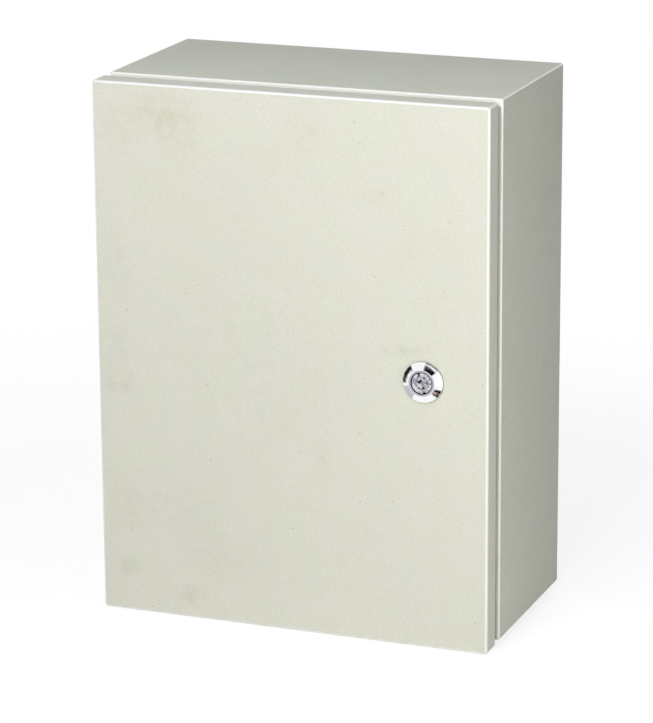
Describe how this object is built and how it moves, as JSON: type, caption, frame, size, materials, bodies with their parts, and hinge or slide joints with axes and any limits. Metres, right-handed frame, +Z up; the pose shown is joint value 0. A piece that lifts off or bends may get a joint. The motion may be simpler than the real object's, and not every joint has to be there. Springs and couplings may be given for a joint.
{
  "type": "electrical cabinet",
  "caption": "Wall-mounted sheet-steel electrical cabinet with a hinged door, quarter-turn lock, mounting plate and gland plate.",
  "frame": {"origin": "centre of the four wall-fixing holes, on the wall face of the back", "axes": "+X right as seen from the front, +Y back into the wall, +Z up"},
  "size_m": [0.305, 0.166, 0.4042],
  "materials": {
    "body_paint": "fine-textured powder coat, pale warm grey",
    "door_paint": "fine-textured powder coat, pale warm grey, faintly smudged",
    "foam_seal": "matt foamed seal",
    "black_rubber": "matt moulded rubber",
    "galvanised_sheet": "dull galvanised sheet",
    "zinc_plate": "bright zinc plate",
    "lock_chrome": "polished chrome",
    "lock_satin": "satin nickel"
  },
  "bodies": {
    "cabinet": {"cabinet_body": "body_paint", "upper_hinge_body_leaf": "zinc_plate", "lower_hinge_body_leaf": "zinc_plate", "hinge_screws": "zinc_plate", "hinge_nuts": "zinc_plate", "mounting_plate": "galvanised_sheet", "plate_studs": "zinc_plate", "plate_spacers": "zinc_plate", "plate_washers": "zinc_plate", "plate_nuts": "zinc_plate", "gland_gasket": "black_rubber", "gland_plate": "galvanised_sheet", "gland_studs": "zinc_plate", "gland_washers": "zinc_plate", "gland_nuts": "zinc_plate", "cable_grommets": "black_rubber", "body_earth_stud": "zinc_plate", "body_earth_washer": "zinc_plate", "body_earth_nut": "zinc_plate"},
    "door": {"door_panel": "door_paint", "door_gasket": "foam_seal", "upper_hinge_door_leaf": "zinc_plate", "lower_hinge_door_leaf": "zinc_plate", "upper_hinge_pin": "zinc_plate", "lower_hinge_pin": "zinc_plate", "door_hinge_studs": "zinc_plate", "door_hinge_nuts": "zinc_plate", "lock_seal": "black_rubber", "lock_housing": "lock_chrome", "lock_nut": "zinc_plate", "door_earth_stud": "zinc_plate", "door_earth_washer": "zinc_plate", "door_earth_nut": "zinc_plate"},
    "lock_cylinder": {"lock_plug": "lock_satin", "lock_core": "lock_satin", "lock_cam": "zinc_plate", "cam_washer": "zinc_plate", "cam_screw": "zinc_plate"}
  },
  "joints": [
    {"name": "door_hinge", "type": "hinge", "parent": "cabinet", "child": "door", "pos_m": [-0.1475, -0.1535, 0], "axis": [0, 0, -1], "range_deg": [0, 120]},
    {"name": "lock_turn", "type": "hinge", "parent": "door", "child": "lock_cylinder", "pos_m": [0.0991, -0.161, -0.0036], "axis": [0, -1, 0], "range_deg": [0, 90]}
  ]
}
